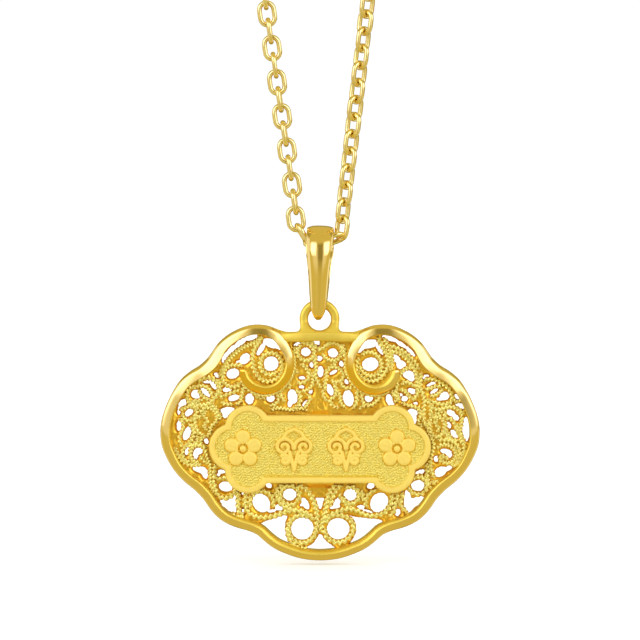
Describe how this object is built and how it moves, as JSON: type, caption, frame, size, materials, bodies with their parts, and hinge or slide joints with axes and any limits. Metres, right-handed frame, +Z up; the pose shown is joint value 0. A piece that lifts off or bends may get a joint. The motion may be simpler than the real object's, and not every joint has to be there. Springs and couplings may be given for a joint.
{
  "type": "filigree lock pendant on a fine cable chain",
  "caption": "Cloud-outlined openwork lock pendant in yellow gold: polished rim with scrolled ends, rope-wire filigree, raised plate and tapered bail on a closed fine cable chain.",
  "frame": {"origin": "inside of the chain's top bend, straight above the pendant, where the chain hangs from its support", "axes": "+Z up, the pendant's front faces -Y, +X to the right as seen from the front"},
  "size_m": [0.0519, 0.0048, 0.2335],
  "materials": {
    "polished_gold": "24 carat yellow gold, mirror polished",
    "filigree_gold": "24 carat yellow gold, twisted wire on plain deep gold walls",
    "satin_gold": "24 carat yellow gold, finely stippled matte ground with a smooth satin border",
    "chain_gold": "24 carat yellow gold wire, polished"
  },
  "bodies": {
    "chain": {"chain": "chain_gold", "clasp": "polished_gold"},
    "bail": {"bail": "polished_gold"},
    "pendant": {"rim": "polished_gold", "filigree": "filigree_gold", "plaque": "satin_gold", "support": "filigree_gold"}
  },
  "joints": [
    {"name": "bail_swing", "type": "hinge", "parent": "chain", "child": "bail", "pos_m": [0, 0, -0.20609], "axis": [1, 0, 0], "range_deg": [-120, 120]},
    {"name": "pendant_swing", "type": "hinge", "parent": "bail", "child": "pendant", "pos_m": [0, 0, -0.21202], "axis": [0, 1, 0], "range_deg": [-60, 60]}
  ]
}
